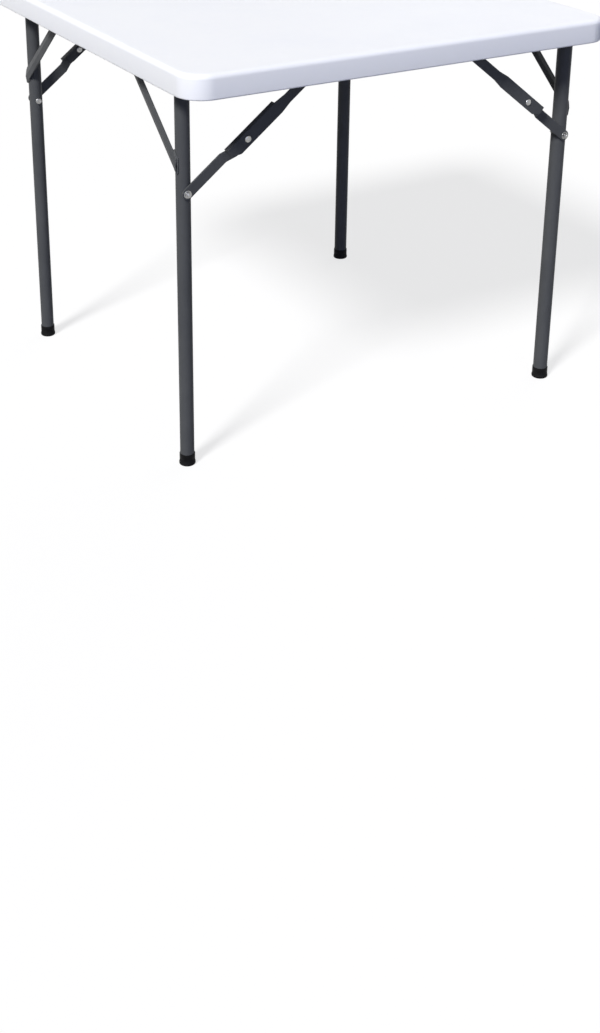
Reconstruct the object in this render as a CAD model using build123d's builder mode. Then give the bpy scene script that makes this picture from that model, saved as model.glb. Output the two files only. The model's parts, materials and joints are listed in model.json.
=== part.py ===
from build123d import *
import math
import os

os.makedirs("parts", exist_ok=True)

# The table stands on the floor plane, centred on the origin. X runs along the two steel
# rails, from the narrow leg set to the wide one, and Y along the cross tubes. All in mm.

# Tabletop
table_side = 864.0
table_height = 737.0
rim_depth = 42.0
corner_radius = 46.0
top_edge_radius = 9.0
rim_edge_radius = 3.0
side_rim_width = 33.5  # the rims that the leg sets stand beside
end_rim_width = 16.5  # the rims that the rails lie beside
recess_corner_radius = 3.0
skin_thickness = 12.0  # plastic left over the leg troughs
pad_thickness = 23.0  # plastic left over the dimpled middle
pad_end_margin = 27.5  # from the recess wall to the pad, along X
pad_side_margin = 123.5  # the leg trough, along Y
pad_corner_radius = 18.0
pad_edge_slope = 1.5

# Moulded dimples in the pad, in rows that are shifted by half a pitch
dimple_length = 16.0
dimple_width = 9.0
dimple_depth = 9.0
dimple_draft = 9.0  # degrees
dimple_pitch = 45.0
dimple_row_pitch = 33.6
dimple_edge_margin = 1.0
trough_dimple_depth = 3.0  # of the rows that go on into the leg troughs
seat_margin = 2.0  # from those rows to the seats of the clips and the brackets

# Stiffening pockets moulded into the underside of the rim
rim_notch_length = 27.0
rim_notch_width = 7.5
rim_notch_depth = 24.0
rim_notch_wall = 0.6
rim_notch_margin = 30.0  # from the recess ends to the first notch
side_pocket_length = 34.0
side_pocket_width = 20.0
side_pocket_step_length = 9.0
side_pocket_step_width = 10.0
side_pocket_depth = 14.0
side_pocket_pitch = 67.5
side_pocket_inset = 10.5  # from the outer edge of the top
side_stem_width = 7.0  # the narrow pocket in front of each wide one
side_stem_length = 25.0
side_stem_depth = 9.0
side_stem_inset = 18.0

# Rails
rail_flange = 15.5
rail_sheet = 1.5
rail_rim_gap = 0.5  # between a rail and the wall of the recess
rail_sink = 0.5  # how far the rails lie inside the rim
rail_end_margin = 20.0
rail_slot_gap = 1.0
rail_screw_outer_x = 357.0
rail_screw_inner_x = 96.0
access_hole_radius = 5.0

# Legs and cross tubes
hinge_inset = 50.0  # from the outer edge of the top to each fold axis
cross_tube_radius = 11.0
cross_tube_wall = 1.5
cross_tube_overhang = 6.0  # past the web of each rail
narrow_leg_radius = 12.5
wide_leg_radius = 14.0
leg_wall = 1.2
foot_ceiling_gap = 0.5  # above the foot caps of the folded wide legs
leg_nest_gap = 6.1  # between a wide leg and the narrow brace beside it
weld_gap = 0.05
gusset_gap = 0.15

# Corner gussets between each leg and its cross tube
gusset_drop = 148.0
gusset_run = 172.0
gusset_width = 20.0
gusset_sheet = 2.0
gusset_crease = 2.0
gusset_tip_rise = 2.0
gusset_leg_overlap = 5.0

# Foot caps
cap_height = 22.0
cap_floor = 3.0
cap_wall = 1.2
cap_flare = 0.8
cap_flare_height = 6.0
cap_flare_bevel = 0.75
cap_edge_radius = 1.5

# Folding braces
brace_reach = 257.0  # from the fold axis in to the fixed pivot
brace_drop = 200.0  # from the fold axis down the leg to the leg pivot
brace_sheet = 2.0
brace_plate_taper = 22.0
brace_narrow_half_width = 9.0
brace_overhang = 40.0  # of the upper link, past the knee
brace_tip_length = 16.0
brace_tip_width = 9.0
stop_flange_reach = 74.0  # from the knee back towards the fixed pivot
stop_flange_height = 9.0
stop_gap = 0.3
bar_width = 19.0
bar_sheet = 3.0
joggle_start = 32.0
joggle_end = 50.0
joggle_depth = 11.0
side_gap = 0.3  # between pieces that slide past each other
rail_spacer_height = 3.9

# Fasteners
pivot_radius = 3.0
pivot_head_radius = 6.0
pivot_head_height = 2.2
pivot_head_round = 1.2
spacer_radius = 5.5
running_gap = 0.05
bolt_head_width = 10.0  # across the flats
bolt_head_height = 4.0
nut_height = 5.0
screw_radius = 2.2
screw_head_radius = 4.2
screw_head_height = 2.4
screw_length = 9.0
countersink_radius = 4.0
countersink_angle = 45.0  # degrees
bracket_rivet_radius = 2.0
bracket_rivet_head = 3.6
bracket_rivet_height = 1.4

# Brackets that carry the fixed pivots of the narrow braces
bracket_width = 30.0
bracket_sheet = 2.0
bracket_ear_drop = 11.0
bracket_tab_margin = 5.0
bracket_rivet_spacing = 16.0
bracket_rivet_drop = 4.0
bracket_round = 9.0

# Clips that hold the folded wide legs
clip_x = 31.0
clip_length = 26.0
clip_sink = 1.0  # how far the clips are let into the plastic
clip_wall = 2.5
clip_gap = 0.3
clip_leg_grip = 7.0
clip_mouth_half_width = 12.9
clip_mouth_flare = 2.2
clip_drop = 11.0

cut_overrun = 5.0

# Levels and places that follow from the sizes
half_side = table_side / 2
rim_bottom = table_height - rim_depth
ceiling = table_height - skin_thickness
pad_level = table_height - pad_thickness
hinge_level = ceiling - foot_ceiling_gap - cap_flare - cap_wall - wide_leg_radius
hinge_x = half_side - hinge_inset
recess_half_length = half_side - side_rim_width
recess_half_width = half_side - end_rim_width
pad_half_length = recess_half_length - pad_end_margin
pad_half_width = recess_half_width - pad_side_margin

clip_top = ceiling + clip_sink
clip_base_level = hinge_level + wide_leg_radius + clip_gap
clip_half_width = wide_leg_radius + clip_gap + clip_wall

rail_outer_y = recess_half_width - rail_rim_gap
web_inner_y = rail_outer_y - rail_flange
web_outer_y = web_inner_y + rail_sheet
rail_middle_y = (web_outer_y + rail_outer_y) / 2
rail_bottom = rim_bottom + rail_sink
rail_half_length = half_side - rail_end_margin

# Distance from a leg's outer face to each layer of its brace
bar_leg_face = side_gap
bar_knee_face = bar_leg_face + joggle_depth
plate_face = bar_knee_face + bar_sheet + side_gap
plate_outer_face = plate_face + brace_sheet
wide_leg_y = web_inner_y - rail_spacer_height - plate_outer_face - wide_leg_radius
narrow_stack = plate_outer_face + side_gap + bracket_sheet + pivot_head_height
narrow_leg_y = wide_leg_y - wide_leg_radius - leg_nest_gap - narrow_stack - narrow_leg_radius

# Lengths of the two links: straight when the table stands, folded flat when the leg is in
brace_span = math.hypot(brace_reach, brace_drop)
upper_link = (brace_span + brace_reach - brace_drop) / 2
lower_link = (brace_span - brace_reach + brace_drop) / 2
brace_angle = math.degrees(math.atan2(brace_drop, brace_reach))
plate_half_width = bar_width / 2 + stop_gap + brace_sheet

leg_sets = {
    "narrow": {"side": -1, "leg_y": narrow_leg_y, "leg_radius": narrow_leg_radius},
    "wide": {"side": 1, "leg_y": wide_leg_y, "leg_radius": wide_leg_radius},
}
ends = {"front": -1, "back": 1}


def save(piece, name):
    piece.label = name
    export_step(piece, f"parts/{name}.step")


def pin_along_y(x, z, steps, outward):
    """A turned pin whose steps run from one distance along Y to the next."""
    with BuildPart() as pin:
        for start, stop, radius, rounding in steps:
            with BuildSketch(Plane((x, outward * start, z), x_dir=(1, 0, 0), z_dir=(0, outward, 0))):
                Circle(radius)
            extrude(amount=stop - start)
            if rounding:
                level = outward * (start if rounding < 0 else stop)
                rim = pin.edges().filter_by(GeomType.CIRCLE).filter_by_position(Axis.Y, level, level)
                fillet(rim.sort_by(SortBy.RADIUS)[-1:], abs(rounding))
    return pin.part


# Tabletop: one moulded shell with a rolled rim, a dimpled pad and a deep trough all round it
with BuildPart() as tabletop:
    with BuildSketch(Plane.XY.offset(rim_bottom)):
        RectangleRounded(table_side, table_side, corner_radius)
    extrude(amount=rim_depth)
    fillet(tabletop.faces().sort_by(Axis.Z)[-1].edges(), top_edge_radius)
    fillet(tabletop.faces().sort_by(Axis.Z)[0].edges(), rim_edge_radius)
    with BuildSketch(Plane.XY.offset(rim_bottom)):
        RectangleRounded(2 * recess_half_length, 2 * recess_half_width, recess_corner_radius)
    extrude(amount=ceiling - rim_bottom, mode=Mode.SUBTRACT)

    # Slots for the rail ends, which reach past the recess and have their corners cut off
    slot_half_length = rail_half_length + rail_slot_gap
    slot_cut = rail_flange - rail_sheet
    for outward in ends.values():
        with BuildSketch(Plane.XY.offset(rim_bottom)):
            with BuildLine():
                Polyline(
                    (-slot_half_length, outward * (web_inner_y - rail_slot_gap)),
                    (-slot_half_length, outward * (recess_half_width - slot_cut)),
                    (slot_cut - slot_half_length, outward * recess_half_width),
                    (slot_half_length - slot_cut, outward * recess_half_width),
                    (slot_half_length, outward * (recess_half_width - slot_cut)),
                    (slot_half_length, outward * (web_inner_y - rail_slot_gap)),
                    close=True,
                )
            make_face()
        extrude(amount=ceiling - rim_bottom, mode=Mode.SUBTRACT)

    # The pad, with sloped edges
    with BuildSketch(Plane.XY.offset(pad_level)):
        RectangleRounded(2 * pad_half_length, 2 * pad_half_width, pad_corner_radius)
    extrude(amount=ceiling - pad_level)
    pad_edges = tabletop.faces().filter_by(Axis.Z).filter_by_position(Axis.Z, pad_level, pad_level)
    chamfer(pad_edges.edges(), pad_edge_slope)

    # Notches in the rim beside the rails
    notch_y = recess_half_width + rim_notch_wall + rim_notch_width / 2
    notch_reach = recess_half_length - rim_notch_margin - rim_notch_length / 2
    notch_count = 2 * math.floor(notch_reach / dimple_pitch + 0.5)
    with BuildSketch(Plane.XY.offset(rim_bottom)):
        with GridLocations(dimple_pitch, 2 * notch_y, notch_count, 2):
            Rectangle(rim_notch_length, rim_notch_width)
    extrude(amount=rim_notch_depth, mode=Mode.SUBTRACT)

    # Stepped pockets in the rim beside the leg sets, each with a narrow stem in front of it
    pocket_outer_x = half_side - side_pocket_inset
    pocket_count = 2 * math.floor((web_inner_y - side_pocket_length) / side_pocket_pitch) + 1
    stem_x = half_side - side_stem_inset - side_stem_width / 2
    stem_y = -(side_pocket_length + side_stem_length) / 2
    with BuildSketch(Plane.XY.offset(rim_bottom)):
        with Locations((0, stem_y)):
            with GridLocations(2 * stem_x, side_pocket_pitch, 2, pocket_count):
                Rectangle(side_stem_width, side_stem_length)
    extrude(amount=side_stem_depth, mode=Mode.SUBTRACT)
    with BuildSketch(Plane.XY.offset(rim_bottom)):
        for side in (-1, 1):
            long_x = side * (pocket_outer_x - side_pocket_width / 2)
            step_x = side * (pocket_outer_x - side_pocket_width + side_pocket_step_width / 2)
            step_y = (side_pocket_step_length - side_pocket_length) / 2
            with Locations((long_x, 0)):
                with GridLocations(side_pocket_pitch, side_pocket_pitch, 1, pocket_count):
                    Rectangle(side_pocket_width, side_pocket_length)
            with Locations((step_x, step_y)):
                with GridLocations(side_pocket_pitch, side_pocket_pitch, 1, pocket_count):
                    Rectangle(side_pocket_step_width, side_pocket_step_length, mode=Mode.SUBTRACT)
    extrude(amount=side_pocket_depth, mode=Mode.SUBTRACT)

    # Seats for the brackets of the narrow braces and for the leg clips
    bracket_x = brace_reach - hinge_x
    bracket_inner_y = narrow_leg_y + narrow_leg_radius + plate_outer_face + side_gap
    with BuildSketch(Plane.XY.offset(ceiling)):
        seat_length = web_inner_y - bracket_inner_y + rail_slot_gap
        with Locations(
            *[(bracket_x, end * (web_inner_y + rail_slot_gap - seat_length / 2)) for end in ends.values()]
        ):
            Rectangle(bracket_width + 2 * rail_slot_gap, seat_length)
    extrude(amount=bracket_sheet, mode=Mode.SUBTRACT)
    with BuildSketch(Plane.XY.offset(ceiling)):
        with GridLocations(0, 2 * wide_leg_y, 1, 2):
            with Locations((clip_x, 0)):
                Rectangle(clip_length + 2 * rail_rim_gap, 2 * (clip_half_width + rail_rim_gap))
    extrude(amount=clip_sink, mode=Mode.SUBTRACT)

    # Pilot holes for the screws of the rails and of the clips
    rail_screw_places = [
        (x, end * rail_middle_y)
        for end in ends.values()
        for x in (-rail_screw_outer_x, -rail_screw_inner_x, rail_screw_inner_x, rail_screw_outer_x)
    ]
    clip_screw_places = [(clip_x, end * wide_leg_y) for end in ends.values()]
    with BuildSketch(Plane.XY.offset(ceiling)):
        with Locations(*rail_screw_places):
            Circle(screw_radius + running_gap)
    extrude(amount=screw_length, mode=Mode.SUBTRACT)
    with BuildSketch(Plane.XY.offset(clip_top)):
        with Locations(*clip_screw_places):
            Circle(screw_radius + running_gap)
    extrude(amount=screw_length, mode=Mode.SUBTRACT)

    # Dimples: even rows stand half a pitch beside the odd ones
    reach_x = pad_half_length - pad_edge_slope - dimple_edge_margin - dimple_length / 2
    reach_y = pad_half_width - pad_edge_slope - dimple_edge_margin - dimple_width / 2
    columns = math.floor(reach_x / dimple_pitch)
    half_columns = math.floor(reach_x / dimple_pitch + 0.5)
    rows = math.floor(reach_y / dimple_row_pitch)
    even_rows = 2 * (rows // 2) + 1
    odd_rows = 2 * ((rows + 1) // 2)
    with BuildSketch(Plane.XY.offset(pad_level)):
        with GridLocations(dimple_pitch, 2 * dimple_row_pitch, 2 * half_columns, even_rows):
            Rectangle(dimple_length, dimple_width)
        with GridLocations(dimple_pitch, 2 * dimple_row_pitch, 2 * columns + 1, odd_rows):
            Rectangle(dimple_length, dimple_width)
    extrude(amount=dimple_depth, taper=dimple_draft, mode=Mode.SUBTRACT)

    # The rows go on, shallow, in the leg troughs, but not over the seats of clips and brackets
    trough_dimples = []
    for row in range(rows + 1, math.floor((web_inner_y - dimple_width) / dimple_row_pitch) + 1):
        row_y = row * dimple_row_pitch
        shift = 0 if row % 2 else dimple_pitch / 2
        for column in range(-columns, columns + (row % 2)):
            column_x = column * dimple_pitch + shift
            near_clip = (
                abs(column_x - clip_x) < (clip_length + dimple_length) / 2 + seat_margin
                and abs(row_y - wide_leg_y) < clip_half_width + dimple_width / 2 + seat_margin
            )
            near_bracket = (
                abs(column_x - bracket_x) < (bracket_width + dimple_length) / 2 + seat_margin
                and row_y + dimple_width / 2 > bracket_inner_y - seat_margin
            )
            if not near_clip and not near_bracket:
                trough_dimples += [(column_x, end * row_y) for end in ends.values()]
    with BuildSketch(Plane.XY.offset(ceiling)):
        with Locations(*trough_dimples):
            Rectangle(dimple_length, dimple_width)
    extrude(amount=trough_dimple_depth, taper=dimple_draft, mode=Mode.SUBTRACT)
save(tabletop.part, "tabletop")

# Rails: pressed channels, open outwards, whose webs carry the cross tubes
for end_name, outward in ends.items():
    with BuildPart() as rail:
        with BuildSketch(Plane.YZ.offset(-rail_half_length)):
            with BuildLine():
                Polyline(
                    (outward * rail_outer_y, rail_bottom),
                    (outward * web_inner_y, rail_bottom),
                    (outward * web_inner_y, ceiling),
                    (outward * rail_outer_y, ceiling),
                    (outward * rail_outer_y, ceiling - rail_sheet),
                    (outward * web_outer_y, ceiling - rail_sheet),
                    (outward * web_outer_y, rail_bottom + rail_sheet),
                    (outward * rail_outer_y, rail_bottom + rail_sheet),
                    close=True,
                )
            make_face()
        extrude(amount=2 * rail_half_length)
        corner_edges = rail.edges().filter_by(Axis.Z).filter_by(
            lambda edge: abs(abs(edge.center().Y) - rail_outer_y) < rail_sheet / 2
        )
        chamfer(corner_edges, rail_flange - rail_sheet)
        with BuildSketch(Plane.XZ.offset(-outward * (web_inner_y - cut_overrun))):
            with Locations((-hinge_x, hinge_level), (hinge_x, hinge_level)):
                Circle(cross_tube_radius + running_gap)
            with Locations((hinge_x - brace_reach, hinge_level)):
                Circle(pivot_radius + running_gap)
            with Locations((bracket_x, hinge_level - bracket_rivet_drop)):
                with GridLocations(bracket_rivet_spacing, bracket_rivet_spacing, 2, 1):
                    Circle(bracket_rivet_radius + running_gap)
        extrude(amount=-outward * (2 * cut_overrun), mode=Mode.SUBTRACT)
        with BuildSketch(Plane.XY.offset(ceiling - rail_sheet)):
            with Locations(*rail_screw_places):
                Circle(screw_radius + running_gap)
        extrude(amount=rail_sheet, mode=Mode.SUBTRACT)
        with BuildSketch(Plane.XY.offset(rail_bottom)):
            with Locations(*rail_screw_places):
                Circle(access_hole_radius)
        extrude(amount=rail_sheet, mode=Mode.SUBTRACT)
    save(rail.part, f"rail_{end_name}")

# Pan-head screws that hold the rails to the plastic
with BuildPart() as rail_screws:
    screw_seat = ceiling - rail_sheet
    with BuildSketch(Plane.XY.offset(screw_seat - screw_head_height)):
        with Locations(*rail_screw_places):
            Circle(screw_head_radius)
    extrude(amount=screw_head_height)
    fillet(rail_screws.edges().group_by(Axis.Z)[0], screw_head_height / 2)
    with BuildSketch(Plane.XY.offset(screw_seat)):
        with Locations(*rail_screw_places):
            Circle(screw_radius)
    extrude(amount=rail_sheet + screw_length - running_gap)
save(rail_screws.part, "rail_screws")

# Brackets that hold the fixed pivots of the narrow braces over the folded wide legs
for end_name, outward in ends.items():
    ear_outer_y = bracket_inner_y + bracket_sheet
    strap_top = ceiling + bracket_sheet
    tab_bottom = hinge_level - bracket_rivet_drop - bracket_tab_margin
    with BuildPart() as bracket:
        with BuildSketch(Plane.YZ.offset(bracket_x - bracket_width / 2)):
            with BuildLine():
                Polyline(
                    (outward * bracket_inner_y, hinge_level - bracket_ear_drop),
                    (outward * bracket_inner_y, strap_top),
                    (outward * web_inner_y, strap_top),
                    (outward * web_inner_y, tab_bottom),
                    (outward * (web_inner_y - bracket_sheet), tab_bottom),
                    (outward * (web_inner_y - bracket_sheet), ceiling),
                    (outward * ear_outer_y, ceiling),
                    (outward * ear_outer_y, hinge_level - bracket_ear_drop),
                    close=True,
                )
            make_face()
        extrude(amount=bracket_width)
        low_corners = bracket.edges().filter_by(Axis.Y).group_by(Axis.Z)[0]
        fillet(low_corners, bracket_round)
        with BuildSketch(Plane.XZ.offset(-outward * (bracket_inner_y - cut_overrun))):
            with Locations((bracket_x, hinge_level)):
                Circle(pivot_radius + running_gap)
        extrude(amount=-outward * (bracket_sheet + 2 * cut_overrun), mode=Mode.SUBTRACT)
        with BuildSketch(Plane.XZ.offset(-outward * web_inner_y)):
            with Locations((bracket_x, hinge_level - bracket_rivet_drop)):
                with GridLocations(bracket_rivet_spacing, bracket_rivet_spacing, 2, 1):
                    Circle(bracket_rivet_radius + running_gap)
        extrude(amount=outward * cut_overrun, mode=Mode.SUBTRACT)
    save(bracket.part, f"narrow_bracket_{end_name}")

with BuildPart() as bracket_rivets:
    for outward in ends.values():
        for along in (-1, 1):
            rivet = pin_along_y(
                bracket_x + along * bracket_rivet_spacing / 2,
                hinge_level - bracket_rivet_drop,
                [
                    (web_inner_y - bracket_sheet - bracket_rivet_height, web_inner_y - bracket_sheet,
                     bracket_rivet_head, -bracket_rivet_height / 2),
                    (web_inner_y - bracket_sheet, web_outer_y, bracket_rivet_radius, 0),
                    (web_outer_y, web_outer_y + bracket_rivet_height, bracket_rivet_head,
                     bracket_rivet_height / 2),
                ],
                outward,
            )
            add(rivet)
save(bracket_rivets.part, "bracket_rivets")

# Rivets at the fixed pivots: the wide ones stand off the rail web on a shoulder
narrow_plate_y = narrow_leg_y + narrow_leg_radius + plate_face
wide_plate_y = wide_leg_y + wide_leg_radius + plate_face
with BuildPart() as narrow_pivot_rivets:
    for outward in ends.values():
        add(pin_along_y(
            bracket_x,
            hinge_level,
            [
                (narrow_plate_y - side_gap - pivot_head_height, narrow_plate_y - side_gap,
                 pivot_head_radius, -pivot_head_round),
                (narrow_plate_y - side_gap, bracket_inner_y + bracket_sheet, pivot_radius, 0),
                (bracket_inner_y + bracket_sheet, bracket_inner_y + bracket_sheet + pivot_head_height,
                 pivot_head_radius, pivot_head_round),
            ],
            outward,
        ))
save(narrow_pivot_rivets.part, "narrow_pivot_rivets")

with BuildPart() as wide_pivot_rivets:
    for outward in ends.values():
        add(pin_along_y(
            hinge_x - brace_reach,
            hinge_level,
            [
                (wide_plate_y - side_gap - pivot_head_height, wide_plate_y - side_gap,
                 pivot_head_radius, -pivot_head_round),
                (wide_plate_y - side_gap, wide_plate_y + brace_sheet + side_gap, pivot_radius, 0),
                (wide_plate_y + brace_sheet + side_gap, web_inner_y, spacer_radius, 0),
                (web_inner_y, web_outer_y, pivot_radius, 0),
                (web_outer_y, web_outer_y + pivot_head_height, pivot_head_radius, pivot_head_round),
            ],
            outward,
        ))
save(wide_pivot_rivets.part, "wide_pivot_rivets")

# Moulded clips that the folded wide legs snap into
for end_name, outward in ends.items():
    grip_radius = wide_leg_radius + clip_gap
    with BuildPart() as clip:
        with BuildSketch(Plane.YZ.offset(clip_x - clip_length / 2)):
            with BuildLine():
                Polyline(
                    (outward * wide_leg_y - clip_half_width, clip_top),
                    (outward * wide_leg_y + clip_half_width, clip_top),
                    (outward * wide_leg_y + clip_half_width, hinge_level - clip_drop),
                    (outward * wide_leg_y - clip_half_width, hinge_level - clip_drop),
                    close=True,
                )
            make_face()
            with Locations((outward * wide_leg_y, hinge_level)):
                Circle(grip_radius, mode=Mode.SUBTRACT)
            with BuildLine():
                Polyline(
                    (outward * wide_leg_y - clip_mouth_half_width, hinge_level),
                    (outward * wide_leg_y + clip_mouth_half_width, hinge_level),
                    (outward * wide_leg_y + clip_mouth_half_width, hinge_level - clip_leg_grip),
                    (outward * wide_leg_y + clip_mouth_half_width + clip_mouth_flare,
                     hinge_level - clip_drop),
                    (outward * wide_leg_y - clip_mouth_half_width - clip_mouth_flare,
                     hinge_level - clip_drop),
                    (outward * wide_leg_y - clip_mouth_half_width, hinge_level - clip_leg_grip),
                    close=True,
                )
            make_face(mode=Mode.SUBTRACT)
        extrude(amount=clip_length)
        with BuildSketch(Plane.XY.offset(clip_base_level)):
            with Locations((clip_x, outward * wide_leg_y)):
                Circle(countersink_radius)
        extrude(amount=countersink_radius - screw_radius, taper=countersink_angle, mode=Mode.SUBTRACT)
        with BuildSketch(Plane.XY.offset(clip_top)):
            with Locations((clip_x, outward * wide_leg_y)):
                Circle(screw_radius + running_gap)
        extrude(amount=clip_base_level - clip_top, mode=Mode.SUBTRACT)
    save(clip.part, f"leg_clip_{end_name}")

# Countersunk screws of the clips, which lie flush above the folded leg
with BuildPart() as clip_screws:
    cone_height = countersink_radius - screw_radius
    with BuildSketch(Plane.XY.offset(clip_base_level)):
        with Locations(*clip_screw_places):
            Circle(countersink_radius - running_gap)
    extrude(amount=cone_height, taper=countersink_angle)
    with BuildSketch(Plane.XY.offset(clip_base_level)):
        with Locations(*clip_screw_places):
            Circle(screw_radius)
    extrude(amount=clip_top - clip_base_level + screw_length - running_gap)
save(clip_screws.part, "clip_screws")

# The two leg sets, each a cross tube that turns in the rails with two legs welded to it
for set_name, leg_set in leg_sets.items():
    side = leg_set["side"]
    leg_y = leg_set["leg_y"]
    leg_radius = leg_set["leg_radius"]
    axis_x = side * hinge_x
    leg_top_cut = cross_tube_radius + weld_gap

    with BuildPart() as cross_tube:
        tube_half_length = web_outer_y + cross_tube_overhang
        with BuildSketch(Plane.XZ.offset(-tube_half_length)):
            with Locations((axis_x, hinge_level)):
                Circle(cross_tube_radius)
                Circle(cross_tube_radius - cross_tube_wall, mode=Mode.SUBTRACT)
        extrude(amount=2 * tube_half_length)
    save(cross_tube.part, f"{set_name}_cross_tube")

    for end_name, outward in ends.items():
        with BuildPart() as leg:
            with BuildSketch(Plane.XY.offset(cap_floor)):
                with Locations((axis_x, outward * leg_y)):
                    Circle(leg_radius)
                    Circle(leg_radius - leg_wall, mode=Mode.SUBTRACT)
            extrude(amount=hinge_level - cap_floor)
            with BuildSketch(Plane.XZ.offset(-outward * leg_y)):
                with Locations((axis_x, hinge_level)):
                    Circle(leg_top_cut)
            extrude(amount=leg_radius + cut_overrun, both=True, mode=Mode.SUBTRACT)
            with BuildSketch(Plane.XZ.offset(-outward * leg_y)):
                with Locations((axis_x, hinge_level - brace_drop)):
                    Circle(pivot_radius + running_gap)
            extrude(amount=leg_radius + cut_overrun, both=True, mode=Mode.SUBTRACT)
        save(leg.part, f"{set_name}_leg_{end_name}")

        # A creased strap, seated on the outer side of the leg and of the cross tube
        foot_point = Vector(
            axis_x + side * (leg_radius + gusset_gap), outward * leg_y, hinge_level - gusset_drop
        )
        tube_point = Vector(
            axis_x + side * (cross_tube_radius + gusset_gap), outward * (leg_y - gusset_run), hinge_level
        )
        along = (tube_point - foot_point).normalized()
        across = along.cross(Vector(side, 0, 0)).normalized()
        strap_plane = Plane(foot_point - along * gusset_width, x_dir=across, z_dir=along)
        lift = 1 if strap_plane.y_dir.X * side > 0 else -1
        half_width = gusset_width / 2
        with BuildPart() as gusset:
            with BuildSketch(strap_plane):
                with BuildLine():
                    Polyline(
                        (-half_width, 0),
                        (0, lift * gusset_crease),
                        (half_width, 0),
                        (half_width, lift * gusset_sheet),
                        (0, lift * (gusset_sheet + gusset_crease)),
                        (-half_width, lift * gusset_sheet),
                        close=True,
                    )
                make_face()
            extrude(amount=(tube_point - foot_point).length + 2 * gusset_width)
            split(bisect_by=Plane.XY.offset(hinge_level + gusset_tip_rise), keep=Keep.BOTTOM)
            leg_side = Plane(
                (0, outward * (leg_y + gusset_leg_overlap), 0), z_dir=(0, outward, 0)
            )
            split(bisect_by=leg_side, keep=Keep.BOTTOM)
        save(gusset.part, f"{set_name}_gusset_{end_name}")

        with BuildPart() as cap:
            with BuildSketch(Plane.XY):
                with Locations((axis_x, outward * leg_y)):
                    Circle(leg_radius + cap_wall)
            extrude(amount=cap_height)
            with BuildSketch(Plane.XY):
                with Locations((axis_x, outward * leg_y)):
                    Circle(leg_radius + cap_wall + cap_flare)
            extrude(amount=cap_flare_height)
            fillet(cap.edges().group_by(Axis.Z)[0], cap_edge_radius)
            flare_edges = cap.edges().filter_by_position(Axis.Z, cap_flare_height, cap_flare_height)
            chamfer(flare_edges.sort_by(SortBy.RADIUS)[-1:], cap_flare_bevel)
            with BuildSketch(Plane.XY.offset(cap_floor)):
                with Locations((axis_x, outward * leg_y)):
                    Circle(leg_radius + running_gap)
            extrude(amount=cap_height - cap_floor, mode=Mode.SUBTRACT)
        save(cap.part, f"{set_name}_foot_cap_{end_name}")

    # Bolts through the legs, flush with the outer face, where each brace ends
    with BuildPart() as leg_bolts:
        for outward in ends.values():
            head_plane = Plane(
                (axis_x, outward * (leg_y - leg_radius), hinge_level - brace_drop),
                x_dir=(1, 0, 0),
                z_dir=(0, outward, 0),
            )
            with BuildSketch(head_plane):
                RegularPolygon(bolt_head_width / 2, side_count=6, major_radius=False)
            extrude(amount=-bolt_head_height)
            with BuildSketch(head_plane):
                Circle(pivot_radius)
            extrude(amount=2 * leg_radius)
    save(leg_bolts.part, f"{set_name}_leg_bolts")

    # Folding braces: an upper link with a stop flange, and a joggled bar that knees against it
    inboard = -side
    fixed_x = axis_x + inboard * brace_reach
    slope = math.radians(brace_angle)
    link_dir = Vector(-inboard * math.cos(slope), 0, -math.sin(slope))
    knee_x = fixed_x + link_dir.X * upper_link
    knee_z = hinge_level + link_dir.Z * upper_link
    for end_name, outward in ends.items():
        leg_face_y = leg_y + leg_radius
        flange_side = outward * inboard
        plate_plane = Plane(
            (fixed_x, outward * (leg_face_y + plate_face), hinge_level),
            x_dir=link_dir,
            z_dir=(0, outward, 0),
        )
        link_end = upper_link + brace_overhang
        flange_start = upper_link - stop_flange_reach
        with BuildPart() as link:
            with BuildSketch(plate_plane):
                with BuildLine():
                    Polyline(
                        (0, flange_side * brace_narrow_half_width),
                        (flange_start - brace_plate_taper, flange_side * brace_narrow_half_width),
                        (flange_start, flange_side * plate_half_width),
                        (link_end, flange_side * plate_half_width),
                        (link_end, flange_side * (brace_tip_width - plate_half_width)),
                        (link_end - brace_tip_length, -flange_side * plate_half_width),
                        (flange_start, -flange_side * plate_half_width),
                        (flange_start - brace_plate_taper, -flange_side * brace_narrow_half_width),
                        (0, -flange_side * brace_narrow_half_width),
                        close=True,
                    )
                make_face()
                Circle(brace_narrow_half_width)
            extrude(amount=brace_sheet)
            with BuildSketch(plate_plane):
                with Locations(
                    ((flange_start + link_end) / 2, flange_side * (plate_half_width - brace_sheet / 2))
                ):
                    Rectangle(link_end - flange_start, brace_sheet)
            extrude(amount=-stop_flange_height)
            with BuildSketch(plate_plane):
                with Locations((0, 0), (upper_link, 0)):
                    Circle(pivot_radius + running_gap)
            extrude(amount=brace_sheet, mode=Mode.SUBTRACT)
        save(link.part, f"{set_name}_upper_link_{end_name}")

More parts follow.
